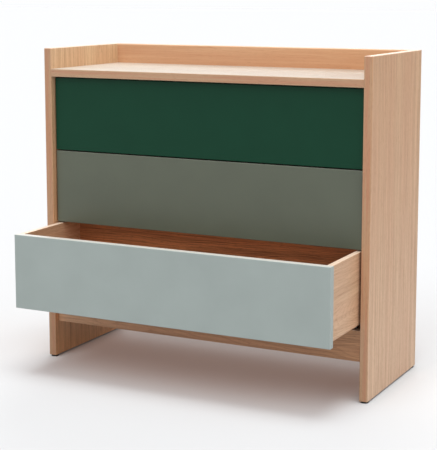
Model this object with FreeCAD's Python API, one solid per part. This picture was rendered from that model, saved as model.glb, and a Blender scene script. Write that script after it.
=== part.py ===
"""Chest of three drawers without handles, in oak, with lacquered fronts.

Two full-height side panels carry a top panel, a gallery board, two rails, a base panel and a thin back.
Each drawer is a dovetailed box behind an inset front. It hangs on two telescopic runners under its
sides: a fixed member on the carcass, a middle member that slides half as far, and a drawer member.
A spring plunger behind each drawer gives the touch that opens it.

Millimetres, +Z up, fronts facing -Y, +X to the right as one looks at the fronts. The origin is on the
floor, at the middle of the floor area that the chest covers with its lower drawer pulled out.
"""

import FreeCAD, Part
import os

from FreeCAD import Vector

# ---------------------------------------------------------------- driving dimensions

# Carcass
overall_width = 1000.0
carcass_depth = 390.0
side_panel_height = 905.0
side_panel_thickness = 23.0
gallery_rise = 59.0  # how far the side panels and the gallery stand above the top panel
gallery_thickness = 23.0
top_panel_thickness = 22.0
base_panel_thickness = 16.0
base_panel_drop = 10.0  # from the upper edge of the rails down to the base panel
back_panel_thickness = 8.0
back_panel_inset = 7.0  # from the rear edge of the side panels to the back panel
rail_height = 84.0
rail_thickness = 22.0
rail_clearance = 101.0  # open height between the side panels' feet and the rails
arris = 1.2  # broken edges of the carcass boards
gallery_round = 4.0  # rounder upper front edge of the gallery

# Joints of the carcass boards
tongue_thickness = 8.0
tongue_length = 8.0
tenon_thickness = 10.0
tenon_length = 12.0
tenon_shoulder = 9.0  # above and below a tenon
housing_stop = 20.0  # the housings stop this far behind the front edge, out of sight
glue_space = 1.0  # left at the bottom of each housing, mortise and groove

# Floor glides
glide_height = 5.0
glide_diameter = 21.0
glide_spigot_width = 6.0
glide_spigot_length = 18.0
glide_edge_margin = 1.0  # from the panel's front or rear edge to the glide

# Drawers
drawer_names = ["upper", "middle", "lower"]
hands = {"left": -1, "right": 1}
front_thickness = 20.0
front_recess = 16.0  # the fronts lie this far behind the side panels' front edges
front_gap = 3.5  # open joint round each front
front_arris_radius = 1.5
box_board_thickness = 16.0
box_clearance = 6.0  # between a drawer's side and the carcass side
box_drop = 15.0  # a front reaches this far below its drawer's sides
box_edge_radius = 1.0
drawer_base_thickness = 8.0
drawer_base_recess = 13.0  # from the lower edge of the sides up to the drawer's base
drawer_base_groove = 7.0
rear_space = 39.0  # between a closed drawer and the back panel
lower_drawer_open = 215.0  # how far the lower drawer is pulled out at rest

# Dovetails at the rear corners of the drawers
dovetail_pitch = 38.0
dovetail_pin_width = 10.0  # a pin, measured on the face where it is narrowest
dovetail_slope = 6.0  # one part out for this many along the board

# Tongues that join a drawer's sides to its front
front_tongue_thickness = 6.0
front_tongue_length = 11.0
front_tongue_shoulder = 12.0  # below the upper edge and above the drawer's base

# Telescopic runners
runner_sheet = 1.5
runner_clearance = 1.5  # below the fixed member
runner_front_margin = 2.0  # from the back of the front to the members
channel_offset = 2.0  # from the inside of the drawer's side to the channels
channel_width = 20.0
channel_height = 11.0
channel_lip = 5.5
middle_neck = 3.0
middle_flange_width = 13.0
flange_rise = 16.0  # of the fixed member's upright, above the drawer's lower edge
flange_screw_rise = 8.0
flange_screw_inset = 37.0  # from each end of the fixed member
flange_slot_length = 9.0  # the screws stand in slots, so that a runner can be set level
flange_slot_height = 4.6
shoe_length = 24.0
shoe_play = 0.25
hook_plate_rise = 12.0  # above the drawer member, behind the drawer's back
hook_blade_width = 6.0
hook_blade_thickness = 3.0
hook_blade_length = 9.0
hook_play = 0.3
notch_play = 1.5  # round the drawer member where it passes under the drawer's back
catch_length = 42.0
catch_width = 28.0
catch_height = 8.0
catch_finger = 8.0
catch_finger_height = 4.0
catch_finger_offset = 12.0

# Screws
screw_head_width = 6.5  # across the flats of the low hexagon head
screw_head_height = 2.2
screw_diameter = 3.5
screw_length = 14.0

# Touch latches
latch_length = 26.0
latch_width = 13.0  # of the square body round the plunger
latch_corner = 2.0
latch_axis_offset = 13.0  # from the carcass side to the plunger's axis
latch_plate_thickness = 3.0
latch_plate_height = 42.0
latch_rear_gap = 1.0
latch_screw_margin = 6.0  # from the ends of the plate to its screws
latch_hole_width = 4.2
plunger_diameter = 7.0
plunger_play = 0.2
plunger_length = 20.0
plunger_stroke = 3.0
plunger_gap = 0.4  # between the plunger's tip and the closed drawer

# ---------------------------------------------------------------- places worked out from them

lower_reach = max(lower_drawer_open - front_recess, 0.0)
carcass_front = (lower_reach - carcass_depth) / 2
carcass_rear = carcass_front + carcass_depth
half_width = overall_width / 2
inner_half = half_width - side_panel_thickness

panel_foot = glide_height
panel_top = panel_foot + side_panel_height
top_surface = panel_top - gallery_rise
top_underside = top_surface - top_panel_thickness
rail_underside = panel_foot + rail_clearance
rail_top = rail_underside + rail_height
base_panel_top = rail_top - base_panel_drop

gallery_front = carcass_rear - gallery_thickness
back_panel_rear = carcass_rear - back_panel_inset
back_panel_front = back_panel_rear - back_panel_thickness
rear_rail_front = carcass_rear - rail_thickness
front_face = carcass_front + front_recess
box_front = front_face + front_thickness
rail_rear = front_face + rail_thickness
box_rear = back_panel_front - rear_space

front_count = len(drawer_names)
front_width = 2 * (inner_half - front_gap)
front_height = (top_underside - rail_top - (front_count + 1) * front_gap) / front_count
box_height = front_height - box_drop
box_outer_half = inner_half - box_clearance
box_inner_half = box_outer_half - box_board_thickness

channel_outer = box_clearance + box_board_thickness + channel_offset
channel_inner = channel_outer + channel_width
channel_middle = channel_outer + channel_width / 2
fixed_floor = runner_clearance - front_gap - box_drop
fixed_lip_top = fixed_floor + channel_height
drawer_member_top = drawer_base_recess
drawer_member_foot = drawer_member_top - channel_height
member_front = box_front + runner_front_margin
member_length = box_rear - member_front
latch_rear = back_panel_front - latch_rear_gap


# ---------------------------------------------------------------- small helpers


def block(x_pair, y_pair, z_pair):
    """A box between pairs of coordinates, given in either order."""
    low = Vector(min(x_pair), min(y_pair), min(z_pair))
    high = Vector(max(x_pair), max(y_pair), max(z_pair))
    size = high - low
    return Part.makeBox(size.x, size.y, size.z, low)


def prism(points, along):
    """A closed outline of points, pushed along a vector."""
    return Part.Face(Part.makePolygon(points + points[:1])).extrude(along)


def join(shapes):
    """One solid from shapes that touch or overlap."""
    whole = shapes[0].fuse(shapes[1:]) if len(shapes) > 1 else shapes[0]
    return whole.removeSplitter()


def edges_of(shape, chosen):
    """The shape's edges that pass a test of their low and high corner."""
    found = []
    for edge in shape.Edges:
        box = edge.BoundBox
        low = Vector(box.XMin, box.YMin, box.ZMin)
        high = Vector(box.XMax, box.YMax, box.ZMax)
        if chosen(low, high):
            found.append(edge)
    return found


def rounded(shape, radius, chosen):
    return shape.makeFillet(radius, edges_of(shape, chosen))


def bevelled(shape, size, chosen):
    return shape.makeChamfer(size, edges_of(shape, chosen))


def near(a, b):
    """Whether two coordinates are the same but for rounding."""
    return abs(a - b) < 0.01


def placed(names_and_shapes, move):
    """The same pieces, moved by a vector."""
    return {name: shape.translated(move) for name, shape in names_and_shapes.items()}


# ---------------------------------------------------------------- carcass


def tongue(half_length, y_pair, z_middle):
    """The tongues at both ends of a panel, as one bar right through it."""
    z_pair = (z_middle - tongue_thickness / 2, z_middle + tongue_thickness / 2)
    return block((-half_length, half_length), y_pair, z_pair)


def tenon(half_length, board_front, board_thickness, z_pair):
    """The tenons at both ends of an upright board, as one bar right through it."""
    y_middle = board_front + board_thickness / 2
    y_pair = (y_middle - tenon_thickness / 2, y_middle + tenon_thickness / 2)
    z_inside = (min(z_pair) + tenon_shoulder, max(z_pair) - tenon_shoulder)
    return block((-half_length, half_length), y_pair, z_inside)


top_z_middle = (top_surface + top_underside) / 2
base_z_middle = base_panel_top - base_panel_thickness / 2
top_tongue_y = (carcass_front + housing_stop, carcass_rear - housing_stop)
base_tongue_y = (rail_rear, rear_rail_front)
gallery_z = (top_surface, panel_top)
rail_z = (rail_underside, rail_top)
back_panel_y = (back_panel_front, back_panel_rear)


def make_side_panel(side):
    """A full-height board, cut for everything that meets its inner face or its foot."""
    board = block(
        (side * inner_half, side * half_width), (carcass_front, carcass_rear), (panel_foot, panel_top)
    )
    board = bevelled(board, arris, lambda low, high: not near(high.z, panel_foot))
    tongue_reach = inner_half + tongue_length + glue_space
    tenon_reach = inner_half + tenon_length + glue_space
    cuts = [
        tongue(tongue_reach, top_tongue_y, top_z_middle),
        tongue(tongue_reach, base_tongue_y, base_z_middle),
        tenon(tenon_reach, gallery_front, gallery_thickness, gallery_z),
        tenon(tenon_reach, front_face, rail_thickness, rail_z),
        tenon(tenon_reach, rear_rail_front, rail_thickness, rail_z),
        block((-tongue_reach, tongue_reach), back_panel_y, (rail_top, top_underside)),
    ]
    cuts += [glide_spigot(x, y) for x, y in glide_places() if x * side > 0]
    cuts += [screw for hand, screw in all_screws() if hand == side]
    return board.cut(cuts)


def back_panel_groove(z_pair):
    return block((-inner_half, inner_half), back_panel_y, z_pair)


def gallery_tongue(length):
    """The tongue along the gallery's lower edge, flush with its front face, let into the top panel."""
    y_pair = (gallery_front, gallery_front + tongue_thickness)
    return block((-inner_half, inner_half), y_pair, (top_surface - length, top_surface))


def make_top_panel():
    """The shelf-like top, tongued into the side panels and grooved for the gallery and the back."""
    board = block((-inner_half, inner_half), (carcass_front, carcass_rear), (top_underside, top_surface))
    board = bevelled(
        board, arris, lambda low, high: near(high.y, carcass_front) and near(low.z, high.z)
    )
    ends = tongue(inner_half + tongue_length, top_tongue_y, top_z_middle)
    grooves = [
        gallery_tongue(tongue_length + glue_space),
        back_panel_groove((top_underside, top_underside + tongue_length + glue_space)),
    ]
    return join([board, ends]).cut(grooves)


def make_gallery():
    """The board that stands on the top panel and closes the tray at the rear."""
    board = block((-inner_half, inner_half), (gallery_front, carcass_rear), gallery_z)
    board = rounded(
        board, gallery_round, lambda low, high: near(low.z, panel_top) and near(high.y, gallery_front)
    )
    board = bevelled(board, arris, lambda low, high: near(low.z, panel_top) and near(low.y, carcass_rear))
    ends = tenon(inner_half + tenon_length, gallery_front, gallery_thickness, gallery_z)
    return join([board, ends, gallery_tongue(tongue_length)])


def rail_board(front_y, outer_y):
    """A rail between the side panels, tenoned into them, with its two outer long edges broken."""
    board = block((-inner_half, inner_half), (front_y, front_y + rail_thickness), rail_z)
    board = bevelled(
        board, arris, lambda low, high: near(low.y, outer_y) and near(high.y, outer_y) and near(low.z, high.z)
    )
    return join([board, tenon(inner_half + tenon_length, front_y, rail_thickness, rail_z)])


def make_front_rail():
    """The plinth-like rail under the fronts, grooved behind for the base panel."""
    groove_y = (rail_rear - tongue_length - glue_space, rail_rear)
    return rail_board(front_face, front_face).cut(tongue(inner_half, groove_y, base_z_middle))


def make_rear_rail():
    """The rail at the rear, grooved for the base panel and the back panel."""
    groove_y = (rear_rail_front, rear_rail_front + tongue_length + glue_space)
    grooves = [
        tongue(inner_half, groove_y, base_z_middle),
        back_panel_groove((rail_top - tongue_length - glue_space, rail_top)),
    ]
    return rail_board(rear_rail_front, carcass_rear).cut(grooves)


def make_base_panel():
    """The panel under the lower drawer, tongued into the rails and the side panels."""
    z_pair = (base_panel_top - base_panel_thickness, base_panel_top)
    board = block((-inner_half, inner_half), (rail_rear, rear_rail_front), z_pair)
    ends = tongue(inner_half + tongue_length, base_tongue_y, base_z_middle)
    edges = tongue(inner_half, (rail_rear - tongue_length, rear_rail_front + tongue_length), base_z_middle)
    return join([board, ends, edges])


def make_back_panel():
    """The thin back, let into grooves in the side panels, the top panel and the rear rail."""
    half_length = inner_half + tongue_length
    between = block((-half_length, half_length), back_panel_y, (rail_top, top_underside))
    edges = back_panel_groove((rail_top - tongue_length, top_underside + tongue_length))
    return join([between, edges])


# ---------------------------------------------------------------- glides and screws


def glide_places():
    """Where the glides stand: under each end of each side panel's lower edge."""
    inset = glide_edge_margin + glide_diameter / 2
    for side in (-1, 1):
        for y in (carcass_front + inset, carcass_rear - inset):
            yield side * (half_width - side_panel_thickness / 2), y


def glide_spigot(x, y):
    """The square spigot of a glide, driven into the lower edge of a side panel."""
    half = glide_spigot_width / 2
    return block((x - half, x + half), (y - half, y + half), (panel_foot, panel_foot + glide_spigot_length))


def make_glides():
    """Four moulded glides, each a round pad with a spigot."""
    glides = []
    for x, y in glide_places():
        pad = Part.makeCylinder(glide_diameter / 2, glide_height, Vector(x, y, 0))
        glides.append(join([pad, glide_spigot(x, y)]))
    return Part.makeCompound(glides)


def screw_into(side, seat_offset, y, z):
    """A hexagon-head screw driven sideways into a side panel through something seat_offset thick."""
    seat_x = side * (inner_half - seat_offset)
    corner_radius = screw_head_width / 3**0.5
    corners = [
        Vector(seat_x, y, z) + turn.multVec(Vector(0, corner_radius, 0))
        for turn in (FreeCAD.Rotation(Vector(1, 0, 0), 60 * number) for number in range(6))
    ]
    head = prism(corners, Vector(-side * screw_head_height, 0, 0))
    shank = Part.makeCylinder(screw_diameter / 2, screw_length, Vector(seat_x, y, z), Vector(side, 0, 0))
    return join([head, shank])


def flange_screw_places():
    return member_front + flange_screw_inset, member_front + member_length - flange_screw_inset


def latch_screw_heights(name):
    reach = latch_plate_height / 2 - latch_screw_margin
    return latch_height(name) - reach, latch_height(name) + reach


def all_screws():
    """Every screw with the side that it is driven into: the runners' on both, the latches' on the left."""
    for name in drawer_names:
        for side in (-1, 1):
            for y in flange_screw_places():
                yield side, screw_into(side, runner_sheet, y, box_foot(name) + flange_screw_rise)
        for z in latch_screw_heights(name):
            yield -1, screw_into(-1, latch_plate_thickness, latch_rear - latch_length / 2, z)


def make_screws():
    return Part.makeCompound([screw for _, screw in all_screws()])


# ---------------------------------------------------------------- drawers


def front_foot(name):
    """The height of the lower edge of a drawer's front."""
    place_from_top = drawer_names.index(name)
    return top_underside - (place_from_top + 1) * (front_gap + front_height)


def box_foot(name):
    """The height of the lower edge of a drawer's sides."""
    return front_foot(name) + box_drop


def dovetails(name, side):
    """The tails at the rear end of one side of a drawer, as solids through the board's thickness."""
    foot = box_foot(name)
    count = max(int(box_height // dovetail_pitch), 1)
    pitch = box_height / count
    flare = box_board_thickness / dovetail_slope
    root_y = box_rear - box_board_thickness
    x_inner = side * box_inner_half
    tails = []
    for number in range(count):
        low = foot + number * pitch + dovetail_pin_width / 2
        high = foot + (number + 1) * pitch - dovetail_pin_width / 2
        outline = [
            Vector(x_inner, root_y, low + flare),
            Vector(x_inner, box_rear, low),
            Vector(x_inner, box_rear, high),
            Vector(x_inner, root_y, high - flare),
        ]
        tails.append(prism(outline, Vector(side * box_board_thickness, 0, 0)))
    return tails


def corner_block(name, side):
    """The space at a drawer's rear corner that tails and pins share."""
    foot = box_foot(name)
    return block(
        (side * box_inner_half, side * box_outer_half),
        (box_rear - box_board_thickness, box_rear),
        (foot, foot + box_height),
    )


def drawer_base(name):
    """The drawer's base, let into a groove on all four sides."""
    half_length = box_inner_half + drawer_base_groove
    low = box_foot(name) + drawer_base_recess
    return block(
        (-half_length, half_length),
        (box_front - drawer_base_groove, box_rear - box_board_thickness + drawer_base_groove),
        (low, low + drawer_base_thickness),
    )


def front_tongue(name, side, space):
    """The tongue of a drawer's side in the back of the front, made longer by some glue space."""
    foot = box_foot(name)
    x_middle = side * (box_outer_half - box_board_thickness / 2)
    return block(
        (x_middle - front_tongue_thickness / 2, x_middle + front_tongue_thickness / 2),
        (box_front - front_tongue_length - space, box_front),
        (
            foot + drawer_base_recess + drawer_base_thickness + front_tongue_shoulder,
            foot + box_height - front_tongue_shoulder,
        ),
    )


def make_drawer_front(name):
    """A lacquered front, grooved for the drawer's base and mortised for the tongues of its sides."""
    foot = front_foot(name)
    board = block((-front_width / 2, front_width / 2), (front_face, box_front), (foot, foot + front_height))
    board = rounded(board, front_arris_radius, lambda low, high: near(high.y, front_face))
    return board.cut([drawer_base(name)] + [front_tongue(name, side, glue_space) for side in (-1, 1)])


def make_drawer_side(name, side):
    """A drawer's side: tongued into the front, with the tails of the rear corner joint."""
    foot = box_foot(name)
    x_pair = (side * box_inner_half, side * box_outer_half)
    board = block(x_pair, (box_front, box_rear), (foot, foot + box_height))
    board = rounded(
        board,
        box_edge_radius,
        lambda low, high: near(low.z, foot + box_height) and near(low.x, high.x),
    )
    pins = corner_block(name, side).cut(dovetails(name, side))
    return join([board, front_tongue(name, side, 0)]).cut([pins, drawer_base(name)])


def make_drawer_back(name):
    """A drawer's back: pins at both ends, notched and slotted for the drawer members of the runners."""
    foot = box_foot(name)
    y_pair = (box_rear - box_board_thickness, box_rear)
    board = block((-box_inner_half, box_inner_half), y_pair, (foot, foot + box_height))
    pins = [corner_block(name, side).cut(dovetails(name, side)) for side in (-1, 1)]
    cuts = [drawer_base(name)]
    for side in (-1, 1):
        x_pair = [side * (inner_half - u) for u in (channel_outer - notch_play, channel_inner + notch_play)]
        cuts.append(block(x_pair, y_pair, (foot, foot + drawer_member_top)))
        cuts.append(hook_blade(name, side, hook_play))
    return join([board] + pins).cut(cuts)


# ---------------------------------------------------------------- runners


def runner_point(side, u, z):
    """A point of a runner's section: u is counted from the carcass side inwards."""
    return Vector(side * (inner_half - u), member_front, z)


def runner_bar(name, side, outline):
    """A member of full length with a section given as (u, height above the drawer's lower edge)."""
    foot = box_foot(name)
    points = [runner_point(side, u, foot + height) for u, height in outline]
    return prism(points, Vector(0, member_length, 0))


def runner_block(name, side, u_pair, y_pair, height_pair):
    foot = box_foot(name)
    x_pair = [side * (inner_half - u) for u in u_pair]
    return block(x_pair, y_pair, [foot + height for height in height_pair])


def make_fixed_member(name, side):
    """The member on the carcass: an upright, a ledge and a lipped channel that opens upwards."""
    sheet = runner_sheet
    floor, lip_top = fixed_floor, fixed_lip_top
    outline = [
        (0, flange_rise),
        (sheet, flange_rise),
        (sheet, lip_top),
        (channel_outer + channel_lip, lip_top),
        (channel_outer + channel_lip, lip_top - sheet),
        (channel_outer + sheet, lip_top - sheet),
        (channel_outer + sheet, floor + sheet),
        (channel_inner - sheet, floor + sheet),
        (channel_inner - sheet, lip_top - sheet),
        (channel_inner - channel_lip, lip_top - sheet),
        (channel_inner - channel_lip, lip_top),
        (channel_inner, lip_top),
        (channel_inner, floor),
        (channel_outer, floor),
        (channel_outer, lip_top - sheet),
        (0, lip_top - sheet),
    ]
    slot_heights = [flange_screw_rise + end * flange_slot_height / 2 for end in (-1, 1)]
    slots = [
        runner_block(name, side, (0, sheet), (y - flange_slot_length / 2, y + flange_slot_length / 2), slot_heights)
        for y in flange_screw_places()
    ]
    return runner_bar(name, side, outline).cut(slots)


def middle_heights():
    """The heights of the middle member's two flanges: (foot of the lower, top of the upper)."""
    cavity = channel_height - 2 * runner_sheet
    play = (cavity - runner_sheet) / 2
    return fixed_floor + runner_sheet + play, drawer_member_top - runner_sheet - play


def make_middle_member(name, side):
    """The member in between: a neck with a flange in each of the two channels."""
    low, high = middle_heights()
    left = channel_middle - middle_flange_width / 2
    right = channel_middle + middle_flange_width / 2
    neck_left = channel_middle - middle_neck / 2
    neck_right = channel_middle + middle_neck / 2
    sheet = runner_sheet
    outline = [
        (left, low),
        (right, low),
        (right, low + sheet),
        (neck_right, low + sheet),
        (neck_right, high - sheet),
        (right, high - sheet),
        (right, high),
        (left, high),
        (left, high - sheet),
        (neck_left, high - sheet),
        (neck_left, low + sheet),
        (left, low + sheet),
    ]
    return runner_bar(name, side, outline)


def make_shoes(name):
    """Slide shoes on the middle members: the rear half runs in the fixed channel, the front half in the other."""
    u_pair = (channel_outer + runner_sheet + shoe_play, channel_inner - runner_sheet - shoe_play)
    lower = (fixed_floor + runner_sheet + shoe_play, fixed_lip_top - runner_sheet - shoe_play)
    upper = (drawer_member_foot + runner_sheet + shoe_play, drawer_member_top - runner_sheet - shoe_play)
    member_rear = member_front + member_length
    member_half = member_front + member_length / 2
    places = [
        (lower, member_rear - shoe_length),
        (lower, member_half),
        (upper, member_front),
        (upper, member_half - shoe_length),
    ]
    shoes = []
    for side in (-1, 1):
        member = make_middle_member(name, side)
        for heights, y in places:
            shoe = runner_block(name, side, u_pair, (y, y + shoe_length), heights)
            shoes.append(shoe.cut(member))
    return Part.makeCompound(shoes)


def hook_blade(name, side, play):
    """The blade of the drawer member's rear hook, grown all round by some play."""
    height = drawer_member_top + drawer_base_thickness / 2 + hook_plate_rise / 2
    return runner_block(
        name,
        side,
        (channel_middle - hook_blade_width / 2 - play, channel_middle + hook_blade_width / 2 + play),
        (box_rear - hook_blade_length - play, box_rear),
        (height - hook_blade_thickness / 2 - play, height + hook_blade_thickness / 2 + play),
    )


def catch_finger_block(name, side, play):
    """The finger of a catch where it enters the drawer member's wall, grown by some play."""
    middle = (drawer_member_top + drawer_member_foot) / 2
    y = member_front + catch_finger_offset
    return runner_block(
        name,
        side,
        (channel_inner - runner_sheet, channel_inner),
        (y - play, y + catch_finger + play),
        (middle - catch_finger_height / 2 - play, middle + catch_finger_height / 2 + play),
    )


def make_drawer_member(name, side):
    """The member under the drawer: a lipped channel that opens downwards, with a hook at the rear."""
    sheet = runner_sheet
    top, foot = drawer_member_top, drawer_member_foot
    outline = [
        (channel_outer, foot),
        (channel_outer, top),
        (channel_inner, top),
        (channel_inner, foot),
        (channel_inner - channel_lip, foot),
        (channel_inner - channel_lip, foot + sheet),
        (channel_inner - sheet, foot + sheet),
        (channel_inner - sheet, top - sheet),
        (channel_outer + sheet, top - sheet),
        (channel_outer + sheet, foot + sheet),
        (channel_outer + channel_lip, foot + sheet),
        (channel_outer + channel_lip, foot),
    ]
    channel = runner_bar(name, side, outline)
    plate = runner_block(
        name,
        side,
        (channel_outer + sheet, channel_inner - sheet),
        (box_rear, box_rear + sheet),
        (top - sheet, top + drawer_base_thickness / 2 + hook_plate_rise),
    )
    tie = runner_block(
        name,
        side,
        (channel_outer + sheet, channel_inner - sheet),
        (box_rear - sheet, box_rear + sheet),
        (top - sheet, top),
    )
    member = join([channel, tie, plate, hook_blade(name, side, 0)])
    return member.cut(catch_finger_block(name, side, hook_play))


def make_catches(name):
    """Two moulded catches under the drawer's base that lock the drawer on its runners."""
    catches = []
    for side in (-1, 1):
        body = runner_block(
            name,
            side,
            (channel_inner, channel_inner + catch_width),
            (box_front, box_front + catch_length),
            (drawer_member_top - catch_height, drawer_member_top),
        )
        relief = runner_block(
            name,
            side,
            (channel_inner + catch_width / 2, channel_inner + catch_width),
            (box_front + catch_length / 2, box_front + catch_length),
            (drawer_member_top - catch_height, drawer_member_top - catch_height / 2),
        )
        catches.append(join([body.cut(relief), catch_finger_block(name, side, 0)]))
    return Part.makeCompound(catches)


# ---------------------------------------------------------------- touch latches


def latch_height(name):
    return box_foot(name) + box_height / 2


def latch_axis_x():
    return latch_axis_offset - inner_half


def make_latch_housing(name):
    """A square body on a plate, screwed to the left side panel behind the drawer, bored for its plunger."""
    x, z = latch_axis_x(), latch_height(name)
    y_pair = (latch_rear - latch_length, latch_rear)
    half = latch_width / 2
    body = block((-inner_half, x + half), y_pair, (z - half, z + half))
    body = bevelled(body, latch_corner, lambda low, high: near(low.x, x + half) and near(low.z, high.z))
    plate_z = (z - latch_plate_height / 2, z + latch_plate_height / 2)
    plate = block((-inner_half, latch_plate_thickness - inner_half), y_pair, plate_z)
    bore_depth = box_rear + plunger_gap + plunger_length + plunger_stroke + plunger_play - y_pair[0]
    cuts = [
        Part.makeCylinder(
            plunger_diameter / 2 + plunger_play, bore_depth, Vector(x, y_pair[0], z), Vector(0, 1, 0)
        )
    ]
    hole_half = latch_hole_width / 2
    y_middle = latch_rear - latch_length / 2
    for hole_z in latch_screw_heights(name):
        cuts.append(
            block(
                (-inner_half, latch_plate_thickness - inner_half),
                (y_middle - hole_half, y_middle + hole_half),
                (hole_z - hole_half, hole_z + hole_half),
            )
        )
    return join([body, plate]).cut(cuts)


def make_plunger(name):
    """The latch's plunger, pressed in as it is behind a closed drawer."""
    tip = Vector(latch_axis_x(), box_rear + plunger_gap, latch_height(name))
    return Part.makeCylinder(plunger_diameter / 2, plunger_length, tip, Vector(0, 1, 0))


# ---------------------------------------------------------------- the whole chest


def drawer_pieces(name):
    """The pieces that travel with one drawer, at its closed place."""
    pieces = {
        f"drawer_front_{name}": make_drawer_front(name),
        f"drawer_back_{name}": make_drawer_back(name),
        f"drawer_base_{name}": drawer_base(name),
        f"runner_catches_{name}": make_catches(name),
    }
    for hand, side in hands.items():
        pieces[f"drawer_side_{name}_{hand}"] = make_drawer_side(name, side)
        pieces[f"runner_drawer_{name}_{hand}"] = make_drawer_member(name, side)
    return pieces


def middle_pieces(name):
    """The pieces that travel half as far as the drawer."""
    pieces = {f"runner_middle_{name}_{hand}": make_middle_member(name, side) for hand, side in hands.items()}
    pieces[f"runner_shoes_{name}"] = make_shoes(name)
    return pieces


def carcass_pieces():
    """The pieces that stay still."""
    pieces = {
        "top_panel": make_top_panel(),
        "back_gallery": make_gallery(),
        "back_panel": make_back_panel(),
        "base_panel": make_base_panel(),
        "front_rail": make_front_rail(),
        "rear_rail": make_rear_rail(),
        "floor_glides": make_glides(),
        "carcass_screws": make_screws(),
    }
    for hand, side in hands.items():
        pieces[f"side_panel_{hand}"] = make_side_panel(side)
        for name in drawer_names:
            pieces[f"runner_fixed_{name}_{hand}"] = make_fixed_member(name, side)
    for name in drawer_names:
        pieces[f"latch_housing_{name}"] = make_latch_housing(name)
    return pieces


def build():
    pieces = carcass_pieces()
    for name in drawer_names:
        opened = lower_drawer_open if name == "lower" else 0.0
        pieces.update(placed(drawer_pieces(name), Vector(0, -opened, 0)))
        pieces.update(placed(middle_pieces(name), Vector(0, -opened / 2, 0)))
        pieces[f"latch_plunger_{name}"] = make_plunger(name)
    return pieces


os.makedirs("parts", exist_ok=True)
for node, shape in build().items():
    if not shape.isValid() or not shape.Solids:
        raise ValueError(f"{node} isn't a sound solid")
    shape.exportStep(f"parts/{node}.step")
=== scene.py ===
"""Finish and stage for a chest of three drawers in oiled oak, with lacquered fronts.

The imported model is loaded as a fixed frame. Each operator gives one group of like pieces its
finish, and the last one makes the studio: floor, light and camera. Metres, +Z up, fronts facing -Y.
"""

import math
from typing import NamedTuple

import bmesh
import bpy
from bpy.props import FloatProperty, FloatVectorProperty, PointerProperty
from mathutils import Euler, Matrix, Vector


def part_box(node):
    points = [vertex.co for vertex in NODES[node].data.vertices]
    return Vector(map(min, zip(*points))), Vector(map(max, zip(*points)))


bl_info = {
    "name": "Chest of three drawers",
    "version": (1, 0, 0),
    "blender": (4, 5, 0),
    "location": "3D view > Sidebar > Chest",
    "description": "Oak, lacquer, steel and plastic finishes for a chest, and its studio",
    "category": "Object",
}

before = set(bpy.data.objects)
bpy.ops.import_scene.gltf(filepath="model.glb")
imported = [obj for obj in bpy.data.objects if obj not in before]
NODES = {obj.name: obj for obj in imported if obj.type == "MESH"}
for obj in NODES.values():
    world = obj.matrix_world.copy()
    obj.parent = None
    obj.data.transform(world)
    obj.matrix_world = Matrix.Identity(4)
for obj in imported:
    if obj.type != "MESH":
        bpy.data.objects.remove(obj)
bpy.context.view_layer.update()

DRAWERS = ("upper", "middle", "lower")
HANDS = ("left", "right")

MILLIMETRES = 1000.0  # in a metre: the patterns of the oak are laid out in millimetres
LAMP_DISTANCE = 3.0  # metres; only where a lamp is drawn, because a sun lamp has no distance

# The Mix node has inputs A and B and a result for each kind of data, all with the same names, so
# they go by number
NUMBER_A, NUMBER_B = 2, 3
VECTOR_A, VECTOR_B, VECTOR_RESULT = 4, 5, 1
COLOUR_A, COLOUR_B, COLOUR_RESULT = 6, 7, 2

# A noise texture's values lie round its middle, and nearly all of them in this range
NOISE_MIDDLE = 0.5
NOISE_RANGE = {"From Min": 0.3, "From Max": 0.7}

# Where the node editor draws the nodes of a material, in its own pixels
NODES_IN_A_ROW = 12
NODE_STEP = (180, -240)


def linear(colour):
    """An sRGB hex colour as the linear values that shaders and lamps take."""
    parts = [int(colour[start : start + 2], 16) / 255 for start in (1, 3, 5)]
    return tuple(
        part / 12.92 if part <= 0.04045 else ((part + 0.055) / 1.055) ** 2.4 for part in parts
    )


# ---------------------------------------------------------------- what a user would change


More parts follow.
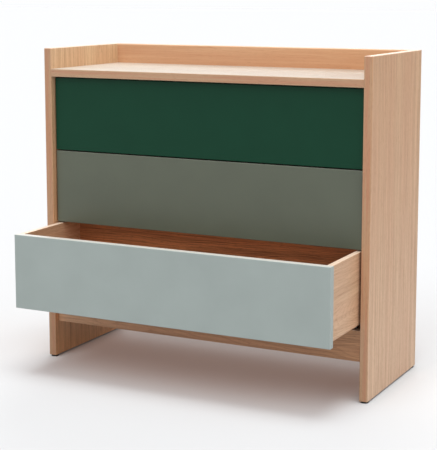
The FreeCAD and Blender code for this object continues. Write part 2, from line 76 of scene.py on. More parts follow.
class ChestOak(bpy.types.PropertyGroup):
    """The oak of the carcass and the drawer boxes."""

    pale: FloatVectorProperty(
        name="Pale wood",
        description="The dense later wood of each year's ring, oiled",
        subtype="COLOR",
        min=0.0,
        max=1.0,
        default=linear("#CEA87F"),
    )
    dark: FloatVectorProperty(
        name="Dark wood",
        description="The open early wood of each year's ring, where the oil sinks in",
        subtype="COLOR",
        min=0.0,
        max=1.0,
        default=linear("#AA7F5A"),
    )
    rosy: FloatVectorProperty(
        name="Rosy patches",
        description="The warmer tone that drifts along some boards",
        subtype="COLOR",
        min=0.0,
        max=1.0,
        default=linear("#BF8E68"),
    )
    lipping: FloatVectorProperty(
        name="Lippings",
        description="The straight-grained strips along the edges of the carcass boards",
        subtype="COLOR",
        min=0.0,
        max=1.0,
        default=linear("#BB8667"),
    )
    lipping_strip: FloatVectorProperty(
        name="Strips in the lippings",
        description="The tan strips between the rosy ones of a lipping",
        subtype="COLOR",
        min=0.0,
        max=1.0,
        default=linear("#BC9675"),
    )
    # Painted highlight: the pale colour that surfaces facing up are mixed towards, painted in for
    # the light from above and the sheen seen along them
    painted_top_highlight: FloatVectorProperty(
        name="Bleached wood",
        description="The paler tone of the surfaces that face up, which are wiped most",
        subtype="COLOR",
        min=0.0,
        max=1.0,
        default=linear("#F2DFCB"),
    )
    pore: FloatVectorProperty(
        name="Pores",
        description="The bottom of the open pores",
        subtype="COLOR",
        min=0.0,
        max=1.0,
        default=linear("#7C573B"),
    )
    year: FloatProperty(
        name="Year's growth",
        description="Thickness of one year's ring, from pith to bark",
        default=0.0028,
        min=0.0005,
        max=0.01,
        unit="LENGTH",
    )
    band: FloatProperty(
        name="Band of years",
        description="Thickness of a run of good or poor years, which shows as a broad band",
        default=0.015,
        min=0.002,
        max=0.1,
        unit="LENGTH",
    )
    pore_length: FloatProperty(
        name="Pore length",
        description="Length of an open pore along the grain",
        default=0.014,
        min=0.001,
        max=0.05,
        unit="LENGTH",
    )
    pore_width: FloatProperty(
        name="Pore width",
        description="Width of an open pore, drawn coarser than the real 0.3 mm so that it shows",
        default=0.0011,
        min=0.0002,
        max=0.005,
        unit="LENGTH",
    )
    roughness: FloatProperty(
        name="Roughness",
        description="Roughness of the oiled surface",
        default=0.42,
        min=0.0,
        max=1.0,
        subtype="FACTOR",
    )


class ChestLacquer(bpy.types.PropertyGroup):
    """The lacquer of the three fronts."""

    upper: FloatVectorProperty(
        name="Upper front",
        description="Dark green",
        subtype="COLOR",
        min=0.0,
        max=1.0,
        default=linear("#133E2C"),
    )
    middle: FloatVectorProperty(
        name="Middle front",
        description="Grey-green",
        subtype="COLOR",
        min=0.0,
        max=1.0,
        default=linear("#5C6254"),
    )
    lower: FloatVectorProperty(
        name="Lower front",
        description="Pale sage",
        subtype="COLOR",
        min=0.0,
        max=1.0,
        default=linear("#9FA9A6"),
    )
    roughness: FloatProperty(
        name="Roughness",
        description="Roughness of the satin lacquer",
        default=0.36,
        min=0.0,
        max=1.0,
        subtype="FACTOR",
    )
    # Painted highlight: the pale colour of the upper edge of a front, painted in for the light from
    # above and the sheen along it
    edge: FloatVectorProperty(
        name="Edges",
        description="What shows through where the lacquer is thin",
        subtype="COLOR",
        min=0.0,
        max=1.0,
        default=linear("#EFE4D8"),
    )
    # How much of the painted highlight the upper edges of the fronts get
    painted_edge_highlight_share: FloatProperty(
        name="Share of edge colour",
        description="How much shows through the lacquer on the upper edges",
        default=0.5,
        min=0.0,
        max=1.0,
        subtype="FACTOR",
    )
    peel: FloatProperty(
        name="Orange peel",
        description="Width of the faint waves that a sprayed lacquer dries with",
        default=0.0022,
        min=0.0002,
        max=0.02,
        unit="LENGTH",
    )


class ChestFittings(bpy.types.PropertyGroup):
    """The steel and moulded fittings."""

    zinc: FloatVectorProperty(
        name="Zinc",
        description="Bright zinc plating on rolled steel",
        subtype="COLOR",
        min=0.0,
        max=1.0,
        default=linear("#BFC3C6"),
    )
    grey_acetal: FloatVectorProperty(
        name="Grey acetal",
        description="Catches and latch housings",
        subtype="COLOR",
        min=0.0,
        max=1.0,
        default=linear("#85888B"),
    )
    white_acetal: FloatVectorProperty(
        name="White acetal",
        description="Slide shoes and plungers",
        subtype="COLOR",
        min=0.0,
        max=1.0,
        default=linear("#DEDEDA"),
    )
    black_nylon: FloatVectorProperty(
        name="Black nylon",
        description="Floor glides",
        subtype="COLOR",
        min=0.0,
        max=1.0,
        default=linear("#161616"),
    )


class ChestStudio(bpy.types.PropertyGroup):
    """Floor, light and camera."""

    floor: FloatVectorProperty(
        name="Floor",
        description="Pale studio floor, as it lights the chest",
        subtype="COLOR",
        min=0.0,
        max=1.0,
        default=linear("#B0B0B0"),
    )
    floor_seen: FloatVectorProperty(
        name="Floor as seen",
        description="Pale studio floor, as the camera sees it",
        subtype="COLOR",
        min=0.0,
        max=1.0,
        default=linear("#B8BFC2"),
    )
    floor_glow: FloatVectorProperty(
        name="Floor glow",
        description="What lifts the floor's shadows, where the camera sees it",
        subtype="COLOR",
        min=0.0,
        max=1.0,
        default=linear("#745E56"),
    )
    contact: FloatProperty(
        name="Contact shadow",
        description="How far round each foot the floor's glow is lost",
        default=0.05,
        min=0.001,
        unit="LENGTH",
    )
    floor_size: FloatProperty(
        name="Floor size",
        description="Side of the square floor",
        default=120.0,
        min=5.0,
        unit="LENGTH",
    )
    room: FloatVectorProperty(
        name="Room",
        description="White of the room, as it is seen, mirrored and sent onto the chest",
        subtype="COLOR",
        min=0.0,
        max=1.0,
        default=linear("#FDFEFF"),
    )
    overhead: FloatProperty(
        name="Overhead light",
        description="Strength of the wide lamp overhead",
        default=2.15,
        min=0.0,
    )
    before: FloatProperty(
        name="Front light",
        description="Strength of the wide lamp above and before the chest",
        default=1.3,
        min=0.0,
    )
    behind: FloatProperty(
        name="Rear light",
        description="Strength of the wide lamp behind the chest, which gives the top its sheen",
        default=0.85,
        min=0.0,
    )
    surroundings: FloatProperty(
        name="Surroundings",
        description="Strength of the light from the room all round",
        default=0.32,
        min=0.0,
    )
    right_wall: FloatProperty(
        name="Right wall",
        description="How much more the wall to the right of the chest gives",
        default=1.0,
        min=0.0,
    )
    camera_place: FloatVectorProperty(
        name="Camera's place",
        description="Where the camera stands, in metres",
        subtype="TRANSLATION",
        unit="LENGTH",
        default=(1.6495, -3.2062, 1.0805),
    )
    camera_turn: FloatProperty(
        name="Camera's turn",
        description="How far the camera is turned to the left of straight at the fronts",
        default=math.radians(27.03),
        subtype="ANGLE",
    )
    camera_dip: FloatProperty(
        name="Camera's dip",
        description="How far the camera looks down",
        default=math.radians(8.10),
        subtype="ANGLE",
    )
    camera_lens: FloatProperty(
        name="Lens",
        description="Focal length, for a picture whose long side is 36 mm",
        default=104.1,
        unit="CAMERA",
    )
    camera_shift: FloatProperty(
        name="Lens shift",
        description="How far the view is shifted up, as a share of the picture's long side",
        default=-0.115,
    )


GROUPS = {
    "chest_oak": ChestOak,
    "chest_lacquer": ChestLacquer,
    "chest_fittings": ChestFittings,
    "chest_studio": ChestStudio,
}


# ---------------------------------------------------------------- how each board was cut


class Cut(NamedTuple):
    """How a board lies in its log, and how its wood differs from the common oak.

    No two trees are alike, so each board has a tone of its own: first and last are how much red,
    green and blue the wood sends back beside the common oak, at the two ends of the board; on some
    boards they also carry painted light and shade, as noted there.
    """

    axes: str  # the board's own directions: along the grain, across its face, through its thickness
    heart_across: float  # millimetres from the board's middle to the pith, across its face
    heart_through: float  # and through its thickness
    taper: float  # how far the pith shifts through the board for each millimetre along it
    first: tuple = (1.0, 1.0, 1.0)
    last: tuple = (1.0, 1.0, 1.0)
    figure: float = 0.0  # how much darker its dark wood is
    lipped: float = 0.0  # how pale the lippings on its edges are, or 0 where it has none
    painted_top_highlight: float = 0.55  # how far a surface that faces up is paled: a painted highlight for the light from above and the sheen along it
    nap: float = 0.08  # raised fibre that is left, which whitens a board seen along its face


PAINTED_INSIDE_SHADE = (1.12, 0.77, 0.61)  # painted shade: the darker, redder tone of the inside of a drawer, beside the common oak
PALE = (1.07, 1.09, 1.24)  # wood from close under the bark

CARCASS_CUTS = {
    # The left side is paler towards its top and redder towards its foot: painted light on its upper
    # part and painted warm shade on its foot
    "side_panel_left": Cut(
        "ZYX", 70, 95, 0.035, first=(1.34, 1.07, 0.94), last=(1.22, 1.34, 1.49), lipped=0.93
    ),
    "side_panel_right": Cut(
        "ZYX", 330, 150, 0.012, first=(1.14, 1.22, 1.47), last=(1.01, 0.94, 0.89), lipped=1.01
    ),
    # The top is paled strongly towards white: partly its own tone, partly a painted sheen for the
    # light it mirrors along its face
    "top_panel": Cut(
        "XYZ",
        -60,
        120,
        0.02,
        first=(1.02, 1.39, 1.88),
        last=(1.0, 1.31, 1.74),
        lipped=0.99,
        painted_top_highlight=0.0,
        nap=0.9,
    ),
    "back_gallery": Cut(
        "XZY",
        70,
        60,
        0.015,
        first=(1.06, 1.04, 1.16),
        last=(1.08, 0.97, 0.98),
        figure=-0.3,
        painted_top_highlight=0.2,
    ),
    # The front rail is paler at its left end and darker and redder towards its right: painted light
    # at the left end and painted shade from the open lower drawer
    "front_rail": Cut(
        "XZY", -12, 52, 0.03, first=(1.24, 1.2, 1.29), last=(1.0, 0.85, 0.81), figure=0.2
    ),
    "rear_rail": Cut("XZY", 26, 64, -0.03),
    "base_panel": Cut("XYZ", 40, 110, 0.02),
    "back_panel": Cut("XZY", -70, 100, 0.03),
}
# The backs of the drawers are darkened and reddened with the painted shade inside an open drawer
BACK_CUTS = {
    "upper": Cut("XZY", 30, 62, 0.05, first=PAINTED_INSIDE_SHADE, last=PAINTED_INSIDE_SHADE, figure=0.7),
    "middle": Cut("XZY", -25, 70, -0.04, first=PAINTED_INSIDE_SHADE, last=PAINTED_INSIDE_SHADE, figure=0.7),
    "lower": Cut("XZY", 12, 55, 0.04, first=PAINTED_INSIDE_SHADE, last=PAINTED_INSIDE_SHADE, figure=0.7),
}
SIDE_CUTS = {
    "left": Cut("YZX", 35, -75, 0.09, first=PALE, last=PALE),
    "right": Cut("YZX", -45, 80, 0.07, first=PALE, last=PALE),
}
# Painted shade inside the drawers, as for the backs
BASE_CUT = Cut("XYZ", 20, 90, 0.03, first=PAINTED_INSIDE_SHADE, last=PAINTED_INSIDE_SHADE, figure=0.7, painted_top_highlight=0.2)


# ---------------------------------------------------------------- materials


def put(tree, kind, settings=None, inputs=None):
    """Adds a node. An input is a value, or a node or output to link from."""
    node = tree.nodes.new(kind)
    row, place_in_row = divmod(len(tree.nodes), NODES_IN_A_ROW)
    node.location = (NODE_STEP[0] * place_in_row, NODE_STEP[1] * row)
    for name, value in (settings or {}).items():
        setattr(node, name, value)
    for key, value in (inputs or {}).items():
        if isinstance(value, bpy.types.Node):
            value = value.outputs[0]
        if isinstance(value, bpy.types.NodeSocket):
            tree.links.new(value, node.inputs[key])
        else:
            node.inputs[key].default_value = value
    return node


def new_material(name):
    """An empty material and its node tree."""
    material = bpy.data.materials.new(name)
    material.use_nodes = True
    material.node_tree.nodes.clear()
    return material, material.node_tree


def rgba(colour):
    """A colour with full opacity, as a colour socket takes it."""
    return (*colour, 1.0)


def oiled_oak(node, cut):
    """Oak, sanded and oiled, for one board.

    The rings round the pith run through the whole board, so that a face shows arches or straight
    lines as the board was cut, and an end shows arcs. The pores stay open and darker, as short
    dashes along the grain. The oil gives a soft sheen that grows towards the horizon.
    """
    oak = bpy.context.scene.chest_oak
    low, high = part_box(node)
    middle = (low + high) / 2 * MILLIMETRES
    length = (high - low)["XYZ".index(cut.axes[0])] * MILLIMETRES
    material, tree = new_material(f"oiled_oak_{node}")

    board = place_on_board(tree, cut, middle)
    noises = grain_noises(tree, board, oak)
    radius = distance_from_pith(tree, board, noises["wander"], cut)
    early = early_wood(tree, radius, oak)
    wood = wood_colour(tree, radius, early, noises, oak, cut)
    finished = board_colour(tree, wood, board, length, noises["streak"], oak, cut)

    # Open pores at the peaks of their noise: more of them in the early wood, and plainer on a
    # board with a strong figure
    early_crowding = 0.07
    pores_shown = 0.3 + 0.5 * cut.figure
    crowding = put(
        tree,
        "ShaderNodeMath",
        {"operation": "MULTIPLY_ADD"},
        {0: early, 1: early_crowding, 2: noises["pore"]},
    )
    pores = put(
        tree,
        "ShaderNodeMapRange",
        {"interpolation_type": "SMOOTHSTEP"},
        {"Value": crowding, "From Min": 0.60, "From Max": 0.74},
    )
    pore_share = put(
        tree, "ShaderNodeMath", {"operation": "MULTIPLY"}, {0: pores, 1: pores_shown}
    )
    colour = put(
        tree,
        "ShaderNodeMix",
        {"data_type": "RGBA"},
        {"Factor": pore_share, COLOUR_A: finished, COLOUR_B: rgba(oak.pore)},
    ).outputs[COLOUR_RESULT]

    # The sheen breaks up over the pores, and sanding leaves the fibres just proud of them
    pore_dullness = 0.2
    fibre_height = 0.0002  # metres
    roughness = put(
        tree,
        "ShaderNodeMath",
        {"operation": "MULTIPLY_ADD"},
        {0: pores, 1: pore_dullness, 2: oak.roughness},
    )
    relief = put(
        tree,
        "ShaderNodeMath",
        {"operation": "MULTIPLY_ADD"},
        {0: pores, 1: -1.0, 2: noises["fibre"]},
    )
    bump = put(
        tree,
        "ShaderNodeBump",
        inputs={"Strength": 0.35, "Distance": fibre_height, "Height": relief},
    )
    surface = put(
        tree,
        "ShaderNodeBsdfPrincipled",
        inputs={
            "Base Color": colour,
            "Roughness": roughness,
            "IOR": 1.5,
            "Sheen Weight": cut.nap,
            "Sheen Roughness": 0.3,
            "Normal": bump,
        },
    )
    put(tree, "ShaderNodeOutputMaterial", inputs={"Surface": surface})
    return material


def place_on_board(tree, cut, middle):
    """Where a point is along, across and through its board, in millimetres from the middle."""
    place = put(tree, "ShaderNodeTexCoord").outputs["Object"]
    axes = put(tree, "ShaderNodeSeparateXYZ", inputs={0: place}).outputs
    turned = put(
        tree, "ShaderNodeCombineXYZ", inputs={i: axes[axis] for i, axis in enumerate(cut.axes)}
    )
    back_to_middle = [-middle["XYZ".index(axis)] for axis in cut.axes]
    return put(
        tree,
        "ShaderNodeVectorMath",
        {"operation": "MULTIPLY_ADD"},
        {0: turned, 1: (MILLIMETRES,) * 3, 2: back_to_middle},
    )


def grain_noises(tree, board, oak):
    """The noises that draw the grain, each stretched along the board."""
    pore_length, pore_width = oak.pore_length * MILLIMETRES, oak.pore_width * MILLIMETRES
    noises = {}
    # Size along, across and through the board, in millimetres, and detail
    for name, size, detail in (
        ("wander", (420, 110, 110), 2.0),  # how the trunk bent as it grew
        ("streak", (320, 7, 6), 4.0),  # darker and paler runs of wood
        ("fibre", (70, 2.4, 2.4), 3.0),  # bundles of fibres, drawn coarse so that they show
        ("pore", (pore_length, pore_width, pore_width), 1.0),
        ("drift", (900, 85, 60), 1.0),  # rosy patches
    ):
        scaled = put(tree, "ShaderNodeVectorMath", {"operation": "DIVIDE"}, {0: board, 1: size})
        noises[name] = put(
            tree,
            "ShaderNodeTexNoise",
            inputs={"Vector": scaled, "Scale": 1.0, "Detail": detail},
        )
    return noises


def distance_from_pith(tree, board, wander, cut):
    """How far a point is from the pith, in millimetres. The pith wanders a little."""
    wander_reach = 38.0  # millimetres from one side to the other
    centred = put(
        tree,
        "ShaderNodeVectorMath",
        {"operation": "SUBTRACT"},
        {0: wander.outputs["Color"], 1: (NOISE_MIDDLE,) * 3},
    )
    moved = put(
        tree,
        "ShaderNodeVectorMath",
        {"operation": "MULTIPLY_ADD"},
        {0: centred, 1: (0.0, wander_reach, wander_reach), 2: board},
    )
    moved_axes = put(tree, "ShaderNodeSeparateXYZ", inputs={0: moved}).outputs
    across = put(
        tree,
        "ShaderNodeMath",
        {"operation": "SUBTRACT"},
        {0: moved_axes["Y"], 1: cut.heart_across},
    )
    tapered = put(
        tree,
        "ShaderNodeMath",
        {"operation": "MULTIPLY_ADD"},
        {0: moved_axes["X"], 1: cut.taper, 2: moved_axes["Z"]},
    )
    through = put(
        tree, "ShaderNodeMath", {"operation": "SUBTRACT"}, {0: tapered, 1: cut.heart_through}
    )
    flat = put(tree, "ShaderNodeCombineXYZ", inputs={0: across, 1: through})
    return put(tree, "ShaderNodeVectorMath", {"operation": "LENGTH"}, {0: flat}).outputs["Value"]


def early_wood(tree, radius, oak):
    """How open the wood is: each year starts with open early wood and ends dense."""
    early_part = 0.55  # of a year's growth
    years = put(
        tree,
        "ShaderNodeMath",
        {"operation": "DIVIDE"},
        {0: radius, 1: oak.year * MILLIMETRES},
    )
    part_of_year = put(tree, "ShaderNodeMath", {"operation": "FRACT"}, {0: years})
    return put(
        tree,
        "ShaderNodeMapRange",
        {"interpolation_type": "SMOOTHSTEP"},
        {
            "Value": part_of_year,
            "From Min": 0.0,
            "From Max": early_part,
            "To Min": 1.0,
            "To Max": 0.0,
        },
    )


def wood_colour(tree, radius, early, noises, oak, cut):
    """The common oak's colour: dark wood in bands, years, streaks and fibres, and rosy patches."""
    bands = put(
        tree,
        "ShaderNodeMath",
        {"operation": "DIVIDE"},
        {0: radius, 1: oak.band * MILLIMETRES},
    )
    band = put(
        tree,
        "ShaderNodeTexNoise",
        {"noise_dimensions": "1D"},
        {"W": bands, "Scale": 1.0, "Detail": 3.0, "Roughness": 0.6},
    )
    share = 0.0
    for pattern, weight in (
        (band, 0.27),
        (early, 0.08),
        (noises["streak"], 0.42),
        (noises["fibre"], 0.3),
    ):
        share = put(
            tree,
            "ShaderNodeMath",
            {"operation": "MULTIPLY_ADD"},
            {0: pattern, 1: weight, 2: share},
        )
    darkness = put(
        tree,
        "ShaderNodeMapRange",
        inputs={"Value": share, "From Min": 0.42, "From Max": 0.68},
    )
    dark = Vector(oak.dark) * (1 - cut.figure)
    body = put(
        tree,
        "ShaderNodeMix",
        {"data_type": "RGBA"},
        {"Factor": darkness, COLOUR_A: rgba(oak.pale), COLOUR_B: rgba(dark)},
    ).outputs[COLOUR_RESULT]
    rosy_most = 0.5
    rosy_share = put(
        tree,
        "ShaderNodeMapRange",
        inputs={"Value": noises["drift"], "From Min": 0.42, "From Max": 0.72, "To Max": rosy_most},
    )
    return put(
        tree,
        "ShaderNodeMix",
        {"data_type": "RGBA"},
        {"Factor": rosy_share, COLOUR_A: body, COLOUR_B: rgba(oak.rosy)},
    ).outputs[COLOUR_RESULT]


def board_colour(tree, wood, board, length, streak, oak, cut):
    """The wood's colour with the board's tone, which on some boards is painted light and shade,
    lippings on its edges and a painted highlight on the faces that turn up.
    """
    along = put(tree, "ShaderNodeSeparateXYZ", inputs={0: board}).outputs["X"]
    last_share = put(
        tree,
        "ShaderNodeMapRange",
        inputs={"Value": along, "From Min": -length / 2, "From Max": length / 2},
    )
    # The board's tone from end to end, on some boards with painted light and shade
    tone = put(
        tree,
        "ShaderNodeMix",
        {"data_type": "VECTOR"},
        {"Factor": last_share, VECTOR_A: cut.first, VECTOR_B: cut.last},
    ).outputs[VECTOR_RESULT]
    toned = put(tree, "ShaderNodeVectorMath", {"operation": "MULTIPLY"}, {0: wood, 1: tone})

    # The edges face away from the board's thickness; the change falls on the rounded arrises
    arris = {"From Min": 0.3, "From Max": 0.9}
    lipping_cover = 0.92 if cut.lipped else 0.0  # the rest is the board's own tone
    normal = put(tree, "ShaderNodeNewGeometry").outputs["True Normal"]
    facings = put(tree, "ShaderNodeSeparateXYZ", inputs={0: normal}).outputs
    flatness = put(
        tree, "ShaderNodeMath", {"operation": "ABSOLUTE"}, {0: facings[cut.axes[2]]}
    )
    lipping_share = put(
        tree,
        "ShaderNodeMapRange",
        inputs={"Value": flatness, **arris, "To Min": lipping_cover, "To Max": 0.0},
    )
    strip = put(
        tree,
        "ShaderNodeMapRange",
        {"interpolation_type": "SMOOTHSTEP"},
        {"Value": streak, "From Min": 0.38, "From Max": 0.62},
    )
    lipping = put(
        tree,
        "ShaderNodeMix",
        {"data_type": "RGBA"},
        {
            "Factor": strip,
            COLOUR_A: rgba(Vector(oak.lipping) * cut.lipped),
            COLOUR_B: rgba(Vector(oak.lipping_strip) * cut.lipped),
        },
    ).outputs[COLOUR_RESULT]
    edged = put(
        tree,
        "ShaderNodeMix",
        {"data_type": "RGBA"},
        {"Factor": lipping_share, COLOUR_A: toned, COLOUR_B: lipping},
    ).outputs[COLOUR_RESULT]
    # Painted highlight: faces that turn up are paled, standing in for the light from above and the
    # sheen along them
    painted_top_highlight_share = put(
        tree,
        "ShaderNodeMapRange",
        inputs={"Value": facings["Z"], **arris, "To Min": 0.0, "To Max": cut.painted_top_highlight},
    )
    return put(
        tree,
        "ShaderNodeMix",
        {"data_type": "RGBA"},
        {"Factor": painted_top_highlight_share, COLOUR_A: edged, COLOUR_B: rgba(oak.painted_top_highlight)},
    ).outputs[COLOUR_RESULT]


def satin_lacquer(name, colour, specular, edge_highlight_amount):
    """Satin lacquer, sprayed on fibreboard and rubbed down.

    An even, closed colour with a soft sheen; close by, the faint waves of the spray break it up.
    The flat of the upper edge is painted paler, a painted highlight for the light from above and
    the sheen along it; the last argument is how much of the usual share of painted highlight it
    gets.
    """
    lacquer = bpy.context.scene.chest_lacquer
    cloud_size = 0.09  # metres: the passes of the spray gun
    tint_drift = 0.03  # lighter or darker from pass to pass
    sheen_drift = 0.03  # duller or glossier
    peel_height = 0.00003  # metres
    material, tree = new_material(f"satin_lacquer_{name}")
    place = put(tree, "ShaderNodeTexCoord").outputs["Object"]
    peel = put(
        tree,
        "ShaderNodeTexNoise",
        inputs={"Vector": place, "Scale": 1.0 / lacquer.peel, "Detail": 2.0},
    )
    cloud = put(
        tree,
        "ShaderNodeTexNoise",
        inputs={"Vector": place, "Scale": 1.0 / cloud_size, "Detail": 3.0},
    )
    tint = put(
        tree,
        "ShaderNodeMapRange",
        inputs={
            "Value": cloud,
            **NOISE_RANGE,
            "To Min": 1.0 - tint_drift,
            "To Max": 1.0 + tint_drift,
        },
    )
    shade = put(tree, "ShaderNodeVectorMath", {"operation": "SCALE"}, {0: colour, "Scale": tint})

    # The flat of the upper edge, inside its rounded arrises, where the highlight is painted
    normal = put(tree, "ShaderNodeNewGeometry").outputs["True Normal"]
    facing_up = put(tree, "ShaderNodeSeparateXYZ", inputs={0: normal}).outputs["Z"]
    painted_highlight_mask = put(
        tree,
        "ShaderNodeMapRange",
        inputs={
            "Value": facing_up,
            "From Min": 0.93,
            "From Max": 0.99,
            "To Min": 0.0,
            "To Max": lacquer.painted_edge_highlight_share * edge_highlight_amount,
        },
    )
    edged = put(
        tree,
        "ShaderNodeMix",
        {"data_type": "RGBA"},
        {"Factor": painted_highlight_mask, COLOUR_A: shade, COLOUR_B: rgba(lacquer.edge)},
    ).outputs[COLOUR_RESULT]

    worn = put(
        tree,
        "ShaderNodeMapRange",
        inputs={
            "Value": cloud,
            **NOISE_RANGE,
            "To Min": lacquer.roughness - sheen_drift,
            "To Max": lacquer.roughness + sheen_drift,
        },
    )
    bump = put(
        tree,
        "ShaderNodeBump",
        inputs={"Strength": 0.2, "Distance": peel_height, "Height": peel},
    )
    surface = put(
        tree,
        "ShaderNodeBsdfPrincipled",
        inputs={
            "Base Color": edged,
            "Roughness": worn,
            "IOR": 1.5,
            "Specular IOR Level": specular,
            "Normal": bump,
        },
    )
    put(tree, "ShaderNodeOutputMaterial", inputs={"Surface": surface})
    return material


def zinc_plated_steel():
    """Cold-rolled steel sheet with bright zinc plating.

    Bluish silver with the fine lines of the rolling along each member, and small clouds in the
    plating.
    """
    fittings = bpy.context.scene.chest_fittings
    line_size = (0.0012, 0.09, 0.0012)  # metres: drawn coarser than real so that the lines show
    line_depth = 0.00002  # metres
    cloud_size = 0.02  # metres: patches of the plating
    material, tree = new_material("zinc_plated_rolled_steel")
    place = put(tree, "ShaderNodeTexCoord").outputs["Object"]
    scaled = put(
        tree, "ShaderNodeVectorMath", {"operation": "DIVIDE"}, {0: place, 1: line_size}
    )
    lines = put(
        tree, "ShaderNodeTexNoise", inputs={"Vector": scaled, "Scale": 1.0, "Detail": 2.0}
    )
    clouds = put(
        tree,
        "ShaderNodeTexNoise",
        inputs={"Vector": place, "Scale": 1.0 / cloud_size, "Detail": 2.0},
    )
    tint = put(
        tree,
        "ShaderNodeMapRange",
        inputs={"Value": clouds, **NOISE_RANGE, "To Min": 0.86, "To Max": 1.0},
    )
    shade = put(
        tree,
        "ShaderNodeVectorMath",
        {"operation": "SCALE"},
        {0: fittings.zinc, "Scale": tint},
    )
    roughness = put(
        tree,
        "ShaderNodeMapRange",
        inputs={"Value": lines, **NOISE_RANGE, "To Min": 0.26, "To Max": 0.42},
    )
    bump = put(
        tree,
        "ShaderNodeBump",
        inputs={"Strength": 0.15, "Distance": line_depth, "Height": lines},
    )
    surface = put(
        tree,
        "ShaderNodeBsdfPrincipled",
        inputs={"Base Color": shade, "Metallic": 1.0, "Roughness": roughness, "Normal": bump},
    )
    put(tree, "ShaderNodeOutputMaterial", inputs={"Surface": surface})
    return material


def moulded_plastic(name, colour, roughness, grain):
    """Injection-moulded plastic.

    The fine spark-eroded grain of its mould dulls the sheen evenly. grain is its size in metres.
    """
    sheen_drift = 0.06  # duller or glossier from grain to grain
    tint_drift = 0.06  # lighter or darker
    grain_depth = 0.00005  # metres
    material, tree = new_material(name)
    place = put(tree, "ShaderNodeTexCoord").outputs["Object"]
    texture = put(
        tree,
        "ShaderNodeTexNoise",
        inputs={"Vector": place, "Scale": 1.0 / grain, "Detail": 2.0},
    )
    worn = put(
        tree,
        "ShaderNodeMapRange",
        inputs={
            "Value": texture,
            **NOISE_RANGE,
            "To Min": roughness - sheen_drift,
            "To Max": roughness + sheen_drift,
        },
    )
    tint = put(
        tree,
        "ShaderNodeMapRange",
        inputs={
            "Value": texture,
            **NOISE_RANGE,
            "To Min": 1.0 - tint_drift,
            "To Max": 1.0 + tint_drift,
        },
    )
    shade = put(tree, "ShaderNodeVectorMath", {"operation": "SCALE"}, {0: colour, "Scale": tint})
    bump = put(
        tree,
        "ShaderNodeBump",
        inputs={"Strength": 0.3, "Distance": grain_depth, "Height": texture},
    )
    surface = put(
        tree,
        "ShaderNodeBsdfPrincipled",
        inputs={"Base Color": shade, "Roughness": worn, "IOR": 1.48, "Normal": bump},
    )
    put(tree, "ShaderNodeOutputMaterial", inputs={"Surface": surface})
    return material


def dress(node, material):
    """Gives a CAD node its finish."""
    for slot in NODES[node].material_slots:
        slot.material = material


# ---------------------------------------------------------------- operators


class CHEST_OT_carcass(bpy.types.Operator):
    """Oiled oak for the boards of the carcass, each with its own cut"""

    bl_idname = "chest.finish_carcass"
    bl_label = "Finish the carcass"

    def execute(self, context):
        for node, cut in CARCASS_CUTS.items():
            dress(node, oiled_oak(node, cut))
        return {"FINISHED"}


class CHEST_OT_drawer_boxes(bpy.types.Operator):
    """Oiled oak for the sides, backs and bases of the drawers"""

    bl_idname = "chest.finish_drawer_boxes"
    bl_label = "Finish the drawer boxes"

    def execute(self, context):
        for drawer in DRAWERS:
            for hand in HANDS:
                node = f"drawer_side_{drawer}_{hand}"
                dress(node, oiled_oak(node, SIDE_CUTS[hand]))
            dress(f"drawer_back_{drawer}", oiled_oak(f"drawer_back_{drawer}", BACK_CUTS[drawer]))
            dress(f"drawer_base_{drawer}", oiled_oak(f"drawer_base_{drawer}", BASE_CUT))
        return {"FINISHED"}


class CHEST_OT_fronts(bpy.types.Operator):
    """Satin lacquer for the three fronts, each in its own colour"""

    bl_idname = "chest.finish_fronts"
    bl_label = "Finish the fronts"

    def execute(self, context):
        lacquer = context.scene.chest_lacquer
        # The darker the lacquer, the more its matting agent takes from the sheen, which is the
        # first number, and the less painted highlight its upper edge gets, which is the second
        for drawer, name, colour, specular, edge_highlight_amount in (
            ("upper", "dark_green", lacquer.upper, 0.15, 0.1),
            ("middle", "grey_green", lacquer.middle, 0.5, 0.8),
            ("lower", "pale_sage", lacquer.lower, 0.45, 1.0),
        ):
            dress(f"drawer_front_{drawer}", satin_lacquer(name, colour, specular, edge_highlight_amount))
        return {"FINISHED"}


class CHEST_OT_runners(bpy.types.Operator):
    """Zinc-plated steel for the runners and screws, moulded plastic for the other fittings"""

    bl_idname = "chest.finish_runners"
    bl_label = "Finish the runners"

    def execute(self, context):
        fittings = context.scene.chest_fittings
        # Grains in metres, drawn coarser than the real 0.05 mm so that they show
        acetal_grain, nylon_grain = 0.0009, 0.0012
        zinc = zinc_plated_steel()
        white = moulded_plastic("moulded_white_acetal", fittings.white_acetal, 0.38, acetal_grain)
        grey = moulded_plastic("moulded_grey_acetal", fittings.grey_acetal, 0.45, acetal_grain)
        for drawer in DRAWERS:
            for member in ("fixed", "middle", "drawer"):
                for hand in HANDS:
                    dress(f"runner_{member}_{drawer}_{hand}", zinc)
            dress(f"runner_shoes_{drawer}", white)
            dress(f"runner_catches_{drawer}", grey)
            dress(f"latch_housing_{drawer}", grey)
            dress(f"latch_plunger_{drawer}", white)
        dress("carcass_screws", zinc)
        black = moulded_plastic("moulded_black_nylon", fittings.black_nylon, 0.5, nylon_grain)
        dress("floor_glides", black)
        return {"FINISHED"}


class CHEST_OT_stage(bpy.types.Operator):
    """Pale floor, three wide soft lamps, a white room and the camera"""

    bl_idname = "chest.make_stage"
    bl_label = "Make the studio"

    def execute(self, context):
        studio = context.scene.chest_studio
        make_floor(studio)
        make_lights(studio)
        make_surroundings(studio)
        make_camera(studio)
        context.scene.view_settings.view_transform = "Standard"
        return {"FINISHED"}


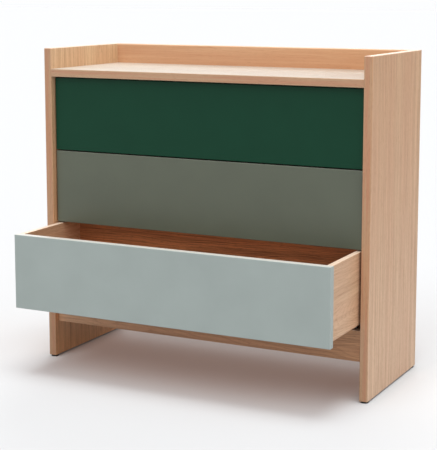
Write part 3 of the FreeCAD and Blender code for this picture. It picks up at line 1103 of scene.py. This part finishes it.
def make_floor(studio):
    """A large matt floor, pale where it is seen and open from below.

    The camera sees a paint that glows a little, which lifts the shadows except close round the
    feet. The light that bounces up to the chest comes from a plain paint.
    """
    mesh = bpy.data.meshes.new("studio_floor")
    shape = bmesh.new()
    bmesh.ops.create_grid(shape, x_segments=1, y_segments=1, size=studio.floor_size / 2)
    shape.to_mesh(mesh)
    shape.free()
    floor = bpy.data.objects.new("studio_floor", mesh)
    bpy.context.scene.collection.objects.link(floor)

    rays_for_contact = 8
    material, tree = new_material("matt_painted_floor")
    paint = put(tree, "ShaderNodeBsdfDiffuse", inputs={"Color": rgba(studio.floor)})
    seen_paint = put(tree, "ShaderNodeBsdfDiffuse", inputs={"Color": rgba(studio.floor_seen)})
    openness = put(
        tree,
        "ShaderNodeAmbientOcclusion",
        {"samples": rays_for_contact},
        {"Distance": studio.contact},
    ).outputs["AO"]
    glow = put(
        tree,
        "ShaderNodeEmission",
        inputs={"Color": rgba(studio.floor_glow), "Strength": openness},
    )
    seen = put(tree, "ShaderNodeAddShader", inputs={0: seen_paint, 1: glow})
    by_camera = put(tree, "ShaderNodeLightPath").outputs["Is Camera Ray"]
    top = put(tree, "ShaderNodeMixShader", inputs={0: by_camera, 1: paint, 2: seen})
    open_below = put(tree, "ShaderNodeBsdfTransparent")
    side = put(tree, "ShaderNodeNewGeometry").outputs["Backfacing"]
    surface = put(tree, "ShaderNodeMixShader", inputs={0: side, 1: top, 2: open_below})
    put(tree, "ShaderNodeOutputMaterial", inputs={"Surface": surface})
    mesh.materials.append(material)


def make_lights(studio):
    """Wide lamps overhead, before and behind the chest, too far away to fade across the floor."""
    # In degrees: how wide the lamp is, its azimuth from the front, -Y, towards the right, +X, and
    # its elevation
    for name, strength, width, azimuth, elevation in (
        ("overhead_light", studio.overhead, 30, 45, 84),
        ("front_light", studio.before, 40, 0, 52),
        ("rear_light", studio.behind, 30, 200, 36),
    ):
        lamp = bpy.data.lights.new(name, "SUN")
        lamp.energy = strength
        lamp.angle = math.radians(width)
        turn = Euler((math.radians(90 - elevation), 0.0, math.radians(azimuth)))
        light = bpy.data.objects.new(name, lamp)
        light.rotation_euler = turn
        light.location = turn.to_matrix() @ Vector((0.0, 0.0, LAMP_DISTANCE))
        bpy.context.scene.collection.objects.link(light)


def make_surroundings(studio):
    """A white room: it lights the chest softly, and is plain white where it is seen or mirrored."""
    world = bpy.data.worlds.new("white_room")
    bpy.context.scene.world = world
    world.use_nodes = True
    tree = world.node_tree
    tree.nodes.clear()
    ray = put(tree, "ShaderNodeLightPath").outputs
    seen = ray["Is Camera Ray"]
    for kind in ("Is Glossy Ray", "Is Transmission Ray"):
        seen = put(tree, "ShaderNodeMath", {"operation": "MAXIMUM"}, {0: seen, 1: ray[kind]})
    direction = put(tree, "ShaderNodeTexCoord").outputs["Generated"]
    to_right = put(tree, "ShaderNodeSeparateXYZ", inputs={0: direction}).outputs["X"]
    beside = put(tree, "ShaderNodeMath", {"operation": "MAXIMUM"}, {0: to_right, 1: 0.0})
    light = put(
        tree,
        "ShaderNodeMath",
        {"operation": "MULTIPLY_ADD"},
        {0: beside, 1: studio.right_wall, 2: studio.surroundings},
    )
    strength = put(tree, "ShaderNodeMix", inputs={0: seen, NUMBER_A: light, NUMBER_B: 1.0})
    white = put(
        tree,
        "ShaderNodeBackground",
        inputs={"Color": rgba(studio.room), "Strength": strength},
    )
    put(tree, "ShaderNodeOutputWorld", inputs={"Surface": white})


def make_camera(studio):
    """The camera, to the right of the chest and looking a little down."""
    data = bpy.data.cameras.new("camera")
    data.lens = studio.camera_lens
    data.shift_y = studio.camera_shift
    camera = bpy.data.objects.new("camera", data)
    camera.location = studio.camera_place
    camera.rotation_euler = (math.pi / 2 - studio.camera_dip, 0.0, studio.camera_turn)
    bpy.context.scene.collection.objects.link(camera)
    bpy.context.scene.camera = camera


# ---------------------------------------------------------------- the add-on


class CHEST_PT_sidebar(bpy.types.Panel):
    """The chest's operators and values"""

    bl_idname = "CHEST_PT_sidebar"
    bl_label = "Chest of drawers"
    bl_space_type = "VIEW_3D"
    bl_region_type = "UI"
    bl_category = "Chest"

    def draw(self, context):
        for operator in OPERATORS:
            self.layout.operator(operator.bl_idname)
        for name, group in GROUPS.items():
            box = self.layout.box()
            for value in group.__annotations__:
                box.prop(getattr(context.scene, name), value)


OPERATORS = (
    CHEST_OT_carcass,
    CHEST_OT_drawer_boxes,
    CHEST_OT_fronts,
    CHEST_OT_runners,
    CHEST_OT_stage,
)
CLASSES = (*GROUPS.values(), *OPERATORS, CHEST_PT_sidebar)


def register():
    for part in CLASSES:
        bpy.utils.register_class(part)
    for name, group in GROUPS.items():
        setattr(bpy.types.Scene, name, PointerProperty(type=group))


def unregister():
    for name in GROUPS:
        delattr(bpy.types.Scene, name)
    for part in reversed(CLASSES):
        bpy.utils.unregister_class(part)


def main():
    """Finishes and stages the chest."""
    register()
    bpy.ops.chest.finish_carcass()
    bpy.ops.chest.finish_drawer_boxes()
    bpy.ops.chest.finish_fronts()
    bpy.ops.chest.finish_runners()
    bpy.ops.chest.make_stage()


if __name__ == "__main__":
    main()
